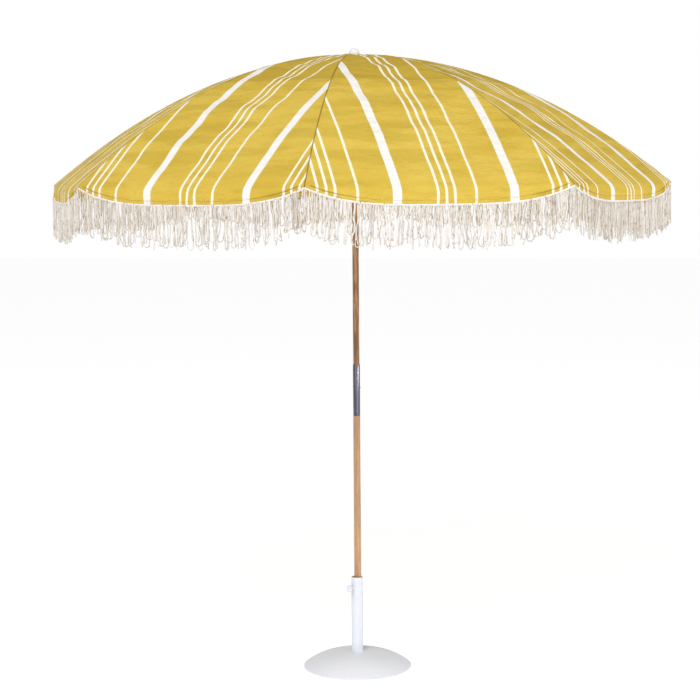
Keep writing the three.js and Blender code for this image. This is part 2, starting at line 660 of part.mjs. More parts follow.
function addCrownAndRunner() {
  addPart(group, 'crown', crown(), whiteNylon);
  addPart(group, 'crown_ring', ringAt(HINGE_HEIGHT, RING_WIRE), brightSteel);
  addPart(group, 'crown_pin', crownPin(), brightSteel);
  addPart(group, 'top_patch', topPatch(), canvas);
  addPart(group, 'finial', finial(), whiteNylon);
  addPart(group, 'finial_stud', finialStud(), brightSteel);
  addPart(group, 'runner', runner(), whiteNylon);
  addPart(group, 'runner_catch', runnerCatch(), brightSteel);
  addPart(group, 'catch_pin', catchPinTool(CATCH_PIN_RADIUS, CATCH_PIN_LENGTH / 2), brightSteel);
}

function addRibs() {
  for (let index = 0; index < RIB_COUNT; index += 1) {
    const arm = new THREE.Group();
    arm.rotation.z = index * 2 * HALF_GORE;
    addPart(arm, `rib_${index + 1}`, rib(), ribSteel);
    addPart(arm, `stretcher_${index + 1}`, stretcher(), ribSteel);
    addPart(arm, `canopy_${index + 1}`, canopyPanel(), canvas);
    addPart(arm, `valance_${index + 1}`, valance(), canvas);
    addPart(arm, `fringe_${index + 1}`, fringe(), cotton);
    group.add(arm);
  }
}

addBase();
addPole();
addCrownAndRunner();
addRibs();

export default group;
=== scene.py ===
"""Looks of the beach umbrella: striped canvas canopy, cotton fringe, wooden pole, painted base.

Metres, +Z up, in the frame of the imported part. Gore g lies between rib g and rib g + 1. A point of
a gore is given by its ring's radius (at the ribs) and by side, which runs from -1 at rib g to +1 at
rib g + 1, or by across, its distance to the right of the gore's centre line seen from outside.
"""

import json
import math

import bmesh
import bpy
import numpy as np
from mathutils import Matrix, Vector


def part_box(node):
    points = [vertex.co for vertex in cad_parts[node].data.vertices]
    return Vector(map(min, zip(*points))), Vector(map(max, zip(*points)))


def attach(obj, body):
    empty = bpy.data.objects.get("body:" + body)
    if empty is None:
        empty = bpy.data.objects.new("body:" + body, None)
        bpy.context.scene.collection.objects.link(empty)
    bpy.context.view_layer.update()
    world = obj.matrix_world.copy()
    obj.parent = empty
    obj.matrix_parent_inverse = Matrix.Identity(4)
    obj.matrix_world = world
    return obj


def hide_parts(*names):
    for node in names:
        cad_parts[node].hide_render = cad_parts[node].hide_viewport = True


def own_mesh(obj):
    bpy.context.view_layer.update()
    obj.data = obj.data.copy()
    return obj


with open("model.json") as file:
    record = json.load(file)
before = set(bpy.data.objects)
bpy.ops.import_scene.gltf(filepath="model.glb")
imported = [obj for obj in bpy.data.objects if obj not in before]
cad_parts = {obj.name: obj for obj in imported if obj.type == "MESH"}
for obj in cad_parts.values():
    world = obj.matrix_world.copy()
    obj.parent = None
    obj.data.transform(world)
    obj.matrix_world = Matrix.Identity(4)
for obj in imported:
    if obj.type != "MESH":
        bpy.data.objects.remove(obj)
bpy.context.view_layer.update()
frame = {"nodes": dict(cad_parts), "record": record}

# ---------------------------------------------------------------- sizes from the frame

RIBS = 8
HALF_GORE = math.pi / RIBS

# Sizes of the CAD's pieces that their boxes don't show.
HINGE_RADIUS = 0.030
CAD_FABRIC = 0.0015
HEM_AT_TIP = 0.006
SCALLOP_POWER = 3.6
DOME_EDGE = 0.005
DOME_HEIGHT = 0.054
DOME_POWER = 2.6
COLLAR_WIDTH = 0.004
TUBE_WALL = 0.0035
FERRULE_WALL = 0.0009
POLE_POINT_RADIUS = 0.005
POLE_POINT_LENGTH = 0.045
FINIAL_EDGE = 0.004
PATCH_RADIUS = 0.036
PATCH_BORE = 0.0035

canopy_low, canopy_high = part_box("canopy_1")
RADIUS = canopy_high.x
RIM_HEIGHT = canopy_low.z + CAD_FABRIC
RISE = (canopy_high.z - RIM_HEIGHT) / (1 - (HINGE_RADIUS / RADIUS) ** 2)
APEX_HEIGHT = RIM_HEIGHT + RISE
HALF_CHORD = RADIUS * math.sin(HALF_GORE)
RIM_ANGLE = math.atan(2 * RISE / (RADIUS * math.cos(HALF_GORE)))
HEM_AT_MIDDLE = RIM_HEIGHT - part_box("valance_1")[0].z
FRINGE_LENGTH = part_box("valance_1")[0].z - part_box("fringe_1")[0].z

# ---------------------------------------------------------------- free sizes

CLOTH = 0.0011
CLOTH_START = 0.026  # the canopy's inner edge, under the top patch
CANOPY_ROWS = 70
VALANCE_ROWS = 12
HALF_COLUMNS = 26
SAG = 0.004
RIPPLE = 0.0042
RIPPLE_PITCH = 0.172
TOP_PUCKER = 0.0022
WRINKLE = 0.0013
BEND_SHARE = 0.62  # of the hem's fall that is taken up by the soft bend at the rim
VALANCE_WAVE = 0.0035
TIP_CREASE = 0.0055
TIP_CREASE_REACH = 0.07
RIB_TAUTNESS = 3  # powers that keep the cloth smooth at the ribs, at the rim and at the hem's seams
RIM_TAUTNESS = 14
SEAM_TAUTNESS = 7
SINES = 7  # in each sum of waves
SLOPE_STEP = 2e-4  # for normals, along a surface's own two values

HEADER_ABOVE = 0.0025  # the fringe's woven band, above and below the hem's edge
HEADER_BELOW = 0.0035
HEADER_THICKNESS = 0.0022
STRAND_RADIUS = 0.0018
LOOSE_ENDS = 24  # on each half gore
LOOPS = 27
CLUMP_SPACING = 0.021
CLUMP_PULL = 0.55  # how far strands are drawn towards the middle of their clump
LOOSE_REACH = (0.78, 1.0)  # shares of the fringe's length, shortest and longest
LOOP_REACH = (0.72, 0.99)
LOOP_WIDTH = (0.009, 0.024)
LOOP_BEND = 0.9  # share of a loop's length at which its bend starts
LOOSE_SWAY = 0.0042
LOOP_SWAY = 0.0045
SWAY_OUT = 0.0016

STRIPE_PERIOD = 0.367
WIDE_STRIPE = (-0.142, 0.0142)  # centre across the gore, half width
THIN_STRIPES = (-0.016, 0.0105, 0.037, 0.104)
THIN_HALF = 0.0042
STRIPE_BLUR = 0.0004
APEX_SHADE_RADIUS = 0.55  # the canopy is painted darker inside this radius, as shade near the apex
WEAVE_PITCH = 0.0014
SEAM_EDGE = (0.001, 0.0028)  # distances from the rib between which the seam fades out
FOLD_ABOVE_HEM = 0.013
FOLD_EDGE = (0.0008, 0.0026)
FOLD_REACH = (0.06, 0.24)  # distances from the rib tip between which the painted shade of the hem's fold fades out

SHARP_ANGLE = math.radians(30)

rng = np.random.default_rng(7)


# ---------------------------------------------------------------- the canopy's shape


def waves(x, y, seed, spread=1.0):
    """Smooth noise around 0: a sum of sines whose directions and phases the seed sets."""
    random = np.random.default_rng(seed)
    total = 0
    for _ in range(SINES):
        kx, ky = random.normal(0, 1, 2)
        total = total + np.sin(kx * spread * x + ky * y + random.uniform(0, 2 * math.pi))
    return total / math.sqrt(SINES)


def gore_axes(gore):
    """Outward and rightward unit vectors of a gore, as seen from outside."""
    azimuth = (2 * gore - 1) * HALF_GORE
    outward = np.array([math.cos(azimuth), math.sin(azimuth), 0])
    rightward = np.array([-math.sin(azimuth), math.cos(azimuth), 0])
    return outward, rightward


def place(gore, out, across, height):
    outward, rightward = gore_axes(gore)
    up = np.array([0, 0, 1])
    out, across, height = (np.asarray(v)[..., None] for v in (out, across, height))
    return out * outward + across * rightward + height * up


def canopy_point(gore, radius, side):
    """The canopy's upper face, with its sag between the ribs, its ripples and its creases.

    The numbers given to waves are radians per metre across and down the gore, then a seed.
    """
    share = radius / RADIUS
    across = side * radius * math.sin(HALF_GORE)
    out = radius * math.cos(HALF_GORE)
    slope = 2 * RISE * radius / (RADIUS**2 * math.cos(HALF_GORE))
    length = np.hypot(1, slope)
    from_rib = 1 - np.abs(side) ** RIB_TAUTNESS
    inside_rim = 1 - share**RIM_TAUTNESS
    sag = -SAG * from_rib * np.sin(math.pi * share)
    bands = np.sin(2 * math.pi * radius / RIPPLE_PITCH + 1.5 * waves(across * 3, radius * 2, gore))
    uneven = 0.55 + 0.45 * waves(across * 4, radius * 5, gore + 20)
    ripple = RIPPLE * from_rib * np.minimum(1, share * 2.4) ** 2 * bands * uneven
    wrinkle = WRINKLE * from_rib * waves(across * 38, radius * 70, gore + 40, 1.2)
    top_band = np.exp(-((share - 0.2) ** 2) / 0.02)
    pucker = TOP_PUCKER * waves(side * 7, radius * 16, gore + 60) * top_band * from_rib
    lift = (sag + ripple + wrinkle + pucker) * inside_rim
    height = APEX_HEIGHT - RISE * share**2
    return place(gore, out + lift * slope / length, across, height + lift / length)


def hem_drop(side):
    return HEM_AT_TIP + (HEM_AT_MIDDLE - HEM_AT_TIP) * (1 - np.abs(side) ** SCALLOP_POWER)


def valance_point(gore, side, down, beyond=0.0, off=0.0):
    """The hanging hem's outer face. down is 0 at the rim and 1 at the hem's edge.

    beyond is metres below the edge, and off is metres outside the face.
    """
    drop = hem_drop(side)
    bend = BEND_SHARE * drop
    curve = (math.pi / 2 - RIM_ANGLE) / bend
    bend_fall = math.cos(RIM_ANGLE) / curve
    path = down * (bend + drop - bend_fall)
    turned_by = RIM_ANGLE + curve * np.minimum(path, bend)
    straight = np.maximum(path - bend, 0)
    taper = 1 - np.abs(side) ** SEAM_TAUTNESS
    out = (np.sin(turned_by) - math.sin(RIM_ANGLE)) / curve
    fall = (math.cos(RIM_ANGLE) - np.cos(turned_by)) / curve + straight
    across = side * HALF_CHORD
    wave = VALANCE_WAVE * down**2 * waves(across * 52, down * 1.5, gore + 80)
    from_tip = (1 - np.abs(side)) * HALF_CHORD
    near_tip = np.exp(-from_tip / TIP_CREASE_REACH)
    wave = wave + TIP_CREASE * down * waves(across * 150, down * 3.5, gore + 100) * near_tip
    out = RADIUS * math.cos(HALF_GORE) + (out + wave) * taper
    return place(gore, out + off, across, RIM_HEIGHT - fall - beyond)


def normals_of(surface, a, b):
    """Unit normals of surface(a, b) from its own slopes, so that neighbouring pieces agree."""
    along_a = surface(a + SLOPE_STEP, b) - surface(a - SLOPE_STEP, b)
    along_b = surface(a, b + SLOPE_STEP) - surface(a, b - SLOPE_STEP)
    normal = np.cross(along_a, along_b)
    return normal / np.linalg.norm(normal, axis=-1, keepdims=True)


# ---------------------------------------------------------------- mesh helpers


def show(name, vertices, faces, uvs=None):
    """A new smooth mesh object. uvs maps a layer's name to one (u, v) per vertex of each face."""
    mesh = bpy.data.meshes.new(name)
    mesh.from_pydata(np.asarray(vertices).tolist(), [], np.asarray(faces).tolist())
    for layer, values in (uvs or {}).items():
        mesh.uv_layers.new(name=layer).data.foreach_set("uv", np.asarray(values, np.float32).ravel())
    mesh.polygons.foreach_set("use_smooth", np.ones(len(mesh.polygons), bool))
    mesh.update()
    obj = bpy.data.objects.new(name, mesh)
    bpy.context.scene.collection.objects.link(obj)
    return obj


def grid_faces(rows, columns, start=0, flip=False):
    index = start + np.arange(rows * columns).reshape(rows, columns)
    faces = np.stack([index[:-1, :-1], index[1:, :-1], index[1:, 1:], index[:-1, 1:]], -1).reshape(-1, 4)
    return faces[:, ::-1] if flip else faces


def edge_faces(rows, columns):
    """Quads that close the border between an upper grid and a lower grid of the same size."""
    upper = np.arange(rows * columns).reshape(rows, columns)
    border = np.concatenate([upper[0, :], upper[1:, -1], upper[-1, -2::-1], upper[-2:0:-1, 0]])
    after = np.roll(border, -1)
    below = rows * columns
    return np.stack([border, after, after + below, border + below], -1)


def sheet_mesh(name, points, normals, corner_uvs):
    """A closed sheet of cloth below a grid of points, shaded with the given normals."""
    rows, columns = points.shape[:2]
    upper = points.reshape(-1, 3)
    lower = (points - CLOTH * normals).reshape(-1, 3)
    top = grid_faces(rows, columns)
    bottom = grid_faces(rows, columns, rows * columns, True)
    edge = edge_faces(rows, columns)
    uvs = {}
    for layer, values in corner_uvs.items():
        upside = values.reshape(-1, 4, 2)
        edge_uv = np.zeros((len(edge), 4, 2)) + upside[0, 0]
        uvs[layer] = np.concatenate([upside, upside[:, ::-1], edge_uv]).reshape(-1, 2)
    obj = show(name, np.concatenate([upper, lower]), np.concatenate([top, bottom, edge]), uvs)
    flat = normals.reshape(-1, 3)
    obj.data.normals_split_custom_set_from_vertices(np.concatenate([flat, -flat]).tolist())
    return obj


def corners(values):
    """One value for each corner of a grid's quads, from a (rows, columns, 2) array."""
    return np.stack([values[:-1, :-1], values[1:, :-1], values[1:, 1:], values[:-1, 1:]], 2).reshape(-1, 2)


def turned(name, profile, centre, segments):
    """Revolves (radius, height) points about the vertical through centre."""
    angles = np.arange(segments) * 2 * math.pi / segments
    profile = np.array(profile, float)
    rings = np.zeros((len(profile), segments, 3))
    rings[..., 0] = centre[0] + profile[:, :1] * np.cos(angles)
    rings[..., 1] = centre[1] + profile[:, :1] * np.sin(angles)
    rings[..., 2] = profile[:, 1:]
    index = np.arange(len(profile) * segments).reshape(len(profile), segments)
    after = np.roll(index, -1, 1)
    faces = np.stack([index[:-1], after[:-1], after[1:], index[1:]], -1).reshape(-1, 4)
    obj = show(name, rings.reshape(-1, 3), faces)
    shell = bmesh.new()
    shell.from_mesh(obj.data)
    bmesh.ops.remove_doubles(shell, verts=shell.verts, dist=1e-7)
    bmesh.ops.recalc_face_normals(shell, faces=shell.faces)
    shell.to_mesh(obj.data)
    shell.free()
    obj.data.set_sharp_from_angle(angle=SHARP_ANGLE)
    return obj


def tubes(paths, radii, outward, tints):
    """Closed four-sided tubes along paths (count, steps, 3), as vertices, faces and corner uvs."""
    count, steps = paths.shape[:2]
    along = np.gradient(paths, axis=1)
    along /= np.linalg.norm(along, axis=-1, keepdims=True)
    aside = np.cross(along, outward)
    aside /= np.linalg.norm(aside, axis=-1, keepdims=True)
    front = np.cross(aside, along)
    radii = radii[:, None, None]
    rings = np.stack([paths + radii * d for d in (aside, front, -aside, -front)], 2)
    index = np.arange(count * steps * 4).reshape(count, steps, 4)
    after = np.roll(index, -1, 2)
    walls = np.stack([index[:, :-1], after[:, :-1], after[:, 1:], index[:, 1:]], -1).reshape(-1, 4)
    caps = np.concatenate([index[:, 0, ::-1], index[:, -1]])
    depth = np.linspace(0, 1, steps)
    tint = np.repeat(tints[:, None], steps, 1)
    per_vertex = np.stack([tint, np.repeat(depth[None], count, 0)], -1)
    per_vertex = np.repeat(per_vertex[:, :, None], 4, 2).reshape(-1, 2)
    faces = np.concatenate([walls, caps])
    return rings.reshape(-1, 3), faces, per_vertex[faces.reshape(-1)]


# ---------------------------------------------------------------- material helpers


def node(tree, kind, **settings):
    made = tree.nodes.new(kind)
    for key, value in settings.items():
        setattr(made, key, value)
    return made


def feed(tree, socket, value):
    if isinstance(value, bpy.types.NodeSocket):
        tree.links.new(value, socket)
    else:
        socket.default_value = value


def maths(tree, operation, *values):
    made = node(tree, "ShaderNodeMath", operation=operation)
    for socket, value in zip(made.inputs, values):
        feed(tree, socket, value)
    return made.outputs[0]


def fade(tree, value, start, end):
    """1 below start, falling to 0 at end."""
    made = node(tree, "ShaderNodeMapRange", interpolation_type="SMOOTHSTEP")
    for socket, item in zip(made.inputs, (value, start, end, 1.0, 0.0)):
        feed(tree, socket, item)
    return made.outputs[0]


def mix(tree, factor, first, second):
    made = node(tree, "ShaderNodeMix", data_type="RGBA")
    feed(tree, made.inputs[0], factor)
    for socket, value in ((made.inputs[6], first), (made.inputs[7], second)):
        feed(tree, socket, value if isinstance(value, bpy.types.NodeSocket) else (*value, 1))
    return made.outputs[2]


def layer(tree, name):
    """The two values of a uv layer, and both as a vector."""
    split = node(tree, "ShaderNodeSeparateXYZ")
    source = node(tree, "ShaderNodeUVMap", uv_map=name)
    tree.links.new(source.outputs[0], split.inputs[0])
    return split.outputs[0], split.outputs[1], source.outputs[0]


def scaled(tree, vector, stretch):
    mapping = node(tree, "ShaderNodeMapping")
    mapping.inputs["Scale"].default_value = stretch
    tree.links.new(vector, mapping.inputs[0])
    return mapping.outputs[0]


def place_of(tree, stretch=(1, 1, 1)):
    """Where the point is on the object, scaled along each axis."""
    return scaled(tree, node(tree, "ShaderNodeTexCoord").outputs["Object"], stretch)


def noise(tree, vector, scale, detail=3.0, roughness=0.5):
    made = node(tree, "ShaderNodeTexNoise")
    tree.links.new(vector, made.inputs["Vector"])
    made.inputs["Scale"].default_value = scale
    made.inputs["Detail"].default_value = detail
    made.inputs["Roughness"].default_value = roughness
    return made.outputs["Fac"]


def bump(tree, shader, height, distance, strength=1.0):
    made = node(tree, "ShaderNodeBump")
    made.inputs["Strength"].default_value = strength
    made.inputs["Distance"].default_value = distance
    tree.links.new(height, made.inputs["Height"])
    if shader.inputs["Normal"].links:
        tree.links.new(shader.inputs["Normal"].links[0].from_socket, made.inputs["Normal"])
    tree.links.new(made.outputs[0], shader.inputs["Normal"])


def material(name, build, **constants):
    made = bpy.data.materials.new(name)
    made.use_nodes = True
    shader = made.node_tree.nodes["Principled BSDF"]
    for key, value in constants.items():
        shader.inputs[key.replace("_", " ")].default_value = value
    build(made.node_tree, shader)
    return made


# ---------------------------------------------------------------- materials

MUSTARD = (0.73, 0.53, 0.10)
MUSTARD_DEEP = (0.60, 0.41, 0.05)
# painted shade of the canvas: near the apex, in soft rumples and along thin creases
MUSTARD_PAINTED_SHADE = (0.42, 0.28, 0.022)
STRIPE_WHITE = (0.84, 0.82, 0.77)
STRIPE_CREAM = (0.87, 0.82, 0.66)
# the dark of the seams at the ribs, and the painted shade in the hem's fold
SEAM_DARK_AND_FOLD_SHADE = (0.20, 0.12, 0.02)
COTTON_LIGHT = (0.84, 0.80, 0.755)
COTTON_DEEP = (0.67, 0.62, 0.565)
COTTON_STAIN = (0.50, 0.43, 0.34)
COTTON_FLECK = (0.36, 0.24, 0.13)
UPPER_WOOD = ((0.56, 0.31, 0.13), (0.10, 0.036, 0.012))  # light, dark
LOWER_WOOD = ((0.58, 0.345, 0.18), (0.25, 0.115, 0.05))
FERRULE_LIGHT = (0.30, 0.28, 0.34)
FERRULE_DARK = (0.085, 0.075, 0.11)
STEEL_LIGHT = (0.74, 0.75, 0.77)
STEEL_DARK = (0.5, 0.5, 0.53)
ENAMEL_CLEAN = (0.80, 0.80, 0.77)
ENAMEL_GRIMY = (0.58, 0.57, 0.52)
NYLON_LIGHT = (0.84, 0.84, 0.83)
NYLON_DEEP = (0.70, 0.70, 0.69)
PAINT_LIGHT = (0.68, 0.71, 0.78)
PAINT_DEEP = (0.61, 0.64, 0.72)
PAINT_CHIP = (0.10, 0.09, 0.09)
FLOOR_LIGHT = (0.62, 0.62, 0.62)
FLOOR_DEEP = (0.60, 0.60, 0.60)
FLOOR_GLOW = 0.66  # lifts the floor to the white of the walls


def stripe_mask(tree, across, centre, half):
    offset = maths(tree, "SUBTRACT", across, centre)
    wrapped = maths(tree, "WRAP", offset, STRIPE_PERIOD / 2, -STRIPE_PERIOD / 2)
    return fade(tree, maths(tree, "ABSOLUTE", wrapped), half - STRIPE_BLUR, half + STRIPE_BLUR)


def weave(tree, across, down):
    warp = maths(tree, "SINE", maths(tree, "MULTIPLY", across, 2 * math.pi / WEAVE_PITCH))
    weft = maths(tree, "SINE", maths(tree, "MULTIPLY", down, 2 * math.pi / WEAVE_PITCH))
    return maths(tree, "MULTIPLY", warp, weft)


def dyed_cloth_and_painted_shade(tree, down, cloth):
    """The canvas between its stripes: patchy and slubbed, with painted shade near the apex, in soft
    rumples and along thin creases.
    """
    patchy = noise(tree, place_of(tree), 5.5, 4.0)
    slubs = noise(tree, place_of(tree), 260.0, 2.0)
    base = mix(tree, maths(tree, "MULTIPLY_ADD", patchy, 1.6, -0.35), MUSTARD, MUSTARD_DEEP)
    base = mix(tree, maths(tree, "MULTIPLY", slubs, 0.35), base, MUSTARD_DEEP)
    # Painted shade near the apex, inside a slightly ragged radius.
    apex_shade_edge = maths(tree, "MULTIPLY_ADD", patchy, 0.05, APEX_SHADE_RADIUS - 0.045)
    apex_shade = fade(tree, down, apex_shade_edge, maths(tree, "ADD", apex_shade_edge, 0.02))
    base = mix(tree, maths(tree, "MULTIPLY", apex_shade, 0.45), base, MUSTARD_PAINTED_SHADE)
    # Painted shade of soft cross-wise rumples.
    rumple_noise_for_shade = noise(tree, scaled(tree, cloth, (1.6, 9.0, 1)), 2.2, 3.0)
    rumple_shade = maths(tree, "MULTIPLY", fade(tree, rumple_noise_for_shade, 0.40, 0.56), 0.3)
    base = mix(tree, rumple_shade, base, MUSTARD_PAINTED_SHADE)
    # Painted shade along thin random creases.
    creases = noise(tree, scaled(tree, cloth, (4.0, 16.0, 1)), 2.0, 6.0, 0.62)
    crease_shade_line = fade(tree, maths(tree, "ABSOLUTE", maths(tree, "SUBTRACT", creases, 0.5)), 0.0, 0.012)
    return mix(tree, maths(tree, "MULTIPLY", crease_shade_line, 0.22), base, MUSTARD_PAINTED_SHADE)


def build_canvas(tree, shader):
    across, down, cloth = layer(tree, "cloth")
    from_rib, from_hem, _ = layer(tree, "edges")
    thin = 0.0
    for centre in THIN_STRIPES:
        thin = maths(tree, "MAXIMUM", stripe_mask(tree, across, centre, THIN_HALF), thin)
    wide = stripe_mask(tree, across, *WIDE_STRIPE)
    colour = mix(tree, thin, dyed_cloth_and_painted_shade(tree, down, cloth), STRIPE_CREAM)
    colour = mix(tree, wide, colour, STRIPE_WHITE)
    seam = fade(tree, from_rib, *SEAM_EDGE)
    colour = mix(tree, maths(tree, "MULTIPLY", seam, 0.75), colour, SEAM_DARK_AND_FOLD_SHADE)
    # Painted shade along the hem's fold, near the rib tips.
    from_fold = maths(tree, "ABSOLUTE", maths(tree, "SUBTRACT", from_hem, FOLD_ABOVE_HEM))
    fold = fade(tree, from_fold, *FOLD_EDGE)
    near_tip = fade(tree, from_rib, *FOLD_REACH)
    fold_shade = maths(tree, "MULTIPLY", maths(tree, "MULTIPLY", fold, near_tip), 0.5)
    colour = mix(tree, fold_shade, colour, SEAM_DARK_AND_FOLD_SHADE)
    tree.links.new(colour, shader.inputs["Base Color"])
    bump(tree, shader, weave(tree, across, down), 0.00012)
    bump(tree, shader, noise(tree, place_of(tree, (1, 1, 2.2)), 13.0, 5.0, 0.6), 0.02, 0.8)
    bump(tree, shader, maths(tree, "MAXIMUM", seam, fold), 0.0012)


def build_cotton(tree, shader):
    tint, depth, _ = layer(tree, "cloth")
    blotch = noise(tree, place_of(tree), 55.0, 3.0)
    specks = noise(tree, place_of(tree, (1, 1, 0.35)), 210.0, 2.0)
    colour = mix(tree, tint, COTTON_LIGHT, COTTON_DEEP)
    colour = mix(tree, maths(tree, "MULTIPLY_ADD", blotch, 0.9, -0.35), colour, COTTON_STAIN)
    dark = maths(tree, "MULTIPLY", fade(tree, specks, 0.33, 0.41), 0.8)
    colour = mix(tree, dark, colour, COTTON_FLECK)
    tree.links.new(colour, shader.inputs["Base Color"])
    twist = maths(tree, "SINE", maths(tree, "MULTIPLY", depth, 160.0))
    bump(tree, shader, twist, 0.0003)


def wood(light, dark, figure_depth):
    """Wood with long dark figure, fine grain and pores. figure_depth is how far the figure darkens."""

    def build(tree, shader):
        figure = noise(tree, place_of(tree, (26, 26, 2.4)), 3.0, 4.0, 0.6)
        grain = noise(tree, place_of(tree, (90, 90, 3.2)), 3.0, 6.0, 0.62)
        pores = noise(tree, place_of(tree, (420, 420, 22)), 4.0, 2.0)
        darkened = maths(tree, "MULTIPLY", fade(tree, figure, 0.42, 0.56), figure_depth)
        colour = mix(tree, darkened, light, dark)
        colour = mix(tree, maths(tree, "MULTIPLY_ADD", grain, 1.5, -0.55), colour, dark)
        colour = mix(tree, maths(tree, "MULTIPLY", fade(tree, pores, 0.36, 0.44), 0.45), colour, dark)
        tree.links.new(colour, shader.inputs["Base Color"])
        rough = maths(tree, "MULTIPLY_ADD", grain, 0.2, 0.38)
        tree.links.new(rough, shader.inputs["Roughness"])
        bump(tree, shader, grain, 0.0004)

    return build


def build_ferrule(tree, shader):
    streaks = noise(tree, place_of(tree, (50, 50, 1.2)), 2.5, 4.0)
    smears = noise(tree, place_of(tree), 40.0, 3.0)
    colour = mix(tree, fade(tree, streaks, 0.4, 0.6), FERRULE_LIGHT, FERRULE_DARK)
    tree.links.new(colour, shader.inputs["Base Color"])
    tree.links.new(maths(tree, "MULTIPLY_ADD", smears, 0.35, 0.15), shader.inputs["Roughness"])
    bump(tree, shader, streaks, 0.0001)


def build_bright_steel(tree, shader):
    scuffs = noise(tree, place_of(tree), 160.0, 4.0)
    tree.links.new(mix(tree, scuffs, STEEL_LIGHT, STEEL_DARK), shader.inputs["Base Color"])
    tree.links.new(maths(tree, "MULTIPLY_ADD", scuffs, 0.4, 0.12), shader.inputs["Roughness"])
    bump(tree, shader, scuffs, 0.00005)


def build_enamel(tree, shader):
    grime = noise(tree, place_of(tree), 30.0, 5.0)
    colour = mix(tree, maths(tree, "MULTIPLY_ADD", grime, 1.2, -0.35), ENAMEL_CLEAN, ENAMEL_GRIMY)
    tree.links.new(colour, shader.inputs["Base Color"])
    tree.links.new(maths(tree, "MULTIPLY_ADD", grime, 0.4, 0.2), shader.inputs["Roughness"])
    bump(tree, shader, noise(tree, place_of(tree), 420.0, 2.0), 0.00008)


def build_nylon(tree, shader):
    cloud = noise(tree, place_of(tree), 45.0, 3.0)
    tree.links.new(mix(tree, cloud, NYLON_LIGHT, NYLON_DEEP), shader.inputs["Base Color"])
    tree.links.new(maths(tree, "MULTIPLY_ADD", cloud, 0.3, 0.3), shader.inputs["Roughness"])
    bump(tree, shader, noise(tree, place_of(tree), 900.0, 2.0), 0.00004)


def build_paint(tree, shader):
    height = node(tree, "ShaderNodeSeparateXYZ")
    tree.links.new(place_of(tree), height.inputs[0])
    low_down = fade(tree, height.outputs[2], 0.004, 0.016)
    cloud = noise(tree, place_of(tree), 14.0, 4.0)
    chips = noise(tree, place_of(tree), 75.0, 4.0, 0.7)
    colour = mix(tree, maths(tree, "MULTIPLY", cloud, 0.6), PAINT_LIGHT, PAINT_DEEP)
    likely = maths(tree, "MULTIPLY_ADD", low_down, 0.85, 0.08)
    scuffed = maths(tree, "MULTIPLY", fade(tree, chips, 0.32, 0.35), likely)
    colour = mix(tree, scuffed, colour, PAINT_CHIP)
    tree.links.new(colour, shader.inputs["Base Color"])
    tree.links.new(maths(tree, "MULTIPLY_ADD", cloud, 0.25, 0.32), shader.inputs["Roughness"])
    bump(tree, shader, noise(tree, place_of(tree), 260.0, 2.0), 0.00025)
    bump(tree, shader, maths(tree, "SUBTRACT", 1.0, scuffed), 0.0003)


def build_floor(tree, shader):
    cloud = noise(tree, place_of(tree), 1.5, 2.0)
    tree.links.new(mix(tree, cloud, FLOOR_LIGHT, FLOOR_DEEP), shader.inputs["Base Color"])


canvas = material("canvas", build_canvas, Roughness=0.9, Specular_IOR_Level=0.12)
cotton = material("fringe_cotton", build_cotton, Roughness=0.95, Specular_IOR_Level=0.1)
dark_wood = material("upper_wood", wood(*UPPER_WOOD, 0.75), Coat_Weight=0.2)
pale_wood = material("lower_wood", wood(*LOWER_WOOD, 0.4), Coat_Weight=0.15)
ferrule_steel = material("ferrule_steel", build_ferrule, Metallic=0.7)
bright_steel = material("bright_steel", build_bright_steel, Metallic=1.0)
rib_enamel = material("rib_steel", build_enamel, Metallic=0.1)
nylon = material("white_nylon", build_nylon)
base_paint = material("base_paint", build_paint, Coat_Weight=0.2, Coat_Roughness=0.3)
glow = {"Emission_Color": (1, 1, 1, 1), "Emission_Strength": FLOOR_GLOW}
floor_paint = material("floor", build_floor, Roughness=0.9, **glow)

BY_SLOT = {
    "canvas": canvas,
    "fringe_cotton": cotton,
    "upper_wood": dark_wood,
    "lower_wood": pale_wood,
    "ferrule_steel": ferrule_steel,
    "bright_steel": bright_steel,
    "rib_steel": rib_enamel,
    "white_nylon": nylon,
    "base_paint": base_paint,
}


def finish_piece(obj, slot, body, *cad_nodes):
    obj.data.materials.clear()
    obj.data.materials.append(BY_SLOT[slot])
    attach(obj, body)
    if cad_nodes:
        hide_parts(*cad_nodes)


for subpart in frame["record"]["subparts"]:
    carried = frame["nodes"][subpart["node"]]
    carried.data.materials.clear()
    carried.data.materials.append(BY_SLOT[subpart["material_slot"]])

# ---------------------------------------------------------------- canopy

rib_shares = np.concatenate([[0, 0.005, 0.011, 0.025], np.linspace(0.055, 1, HALF_COLUMNS)])


def gore_side(rib, side):
    """The gore on one side of a rib (-1 clockwise, +1 anticlockwise), and its side value at the rib."""
    gore = rib if side > 0 else (rib - 2) % RIBS + 1
    return gore, -side


def cloth_uvs(side_values, radius, down, from_hem):
    across = side_values * radius * math.sin(HALF_GORE)
    from_rib = (1 - np.abs(side_values)) * radius * math.sin(HALF_GORE)
    return np.stack([across, down], -1), np.stack([from_rib, from_hem], -1)


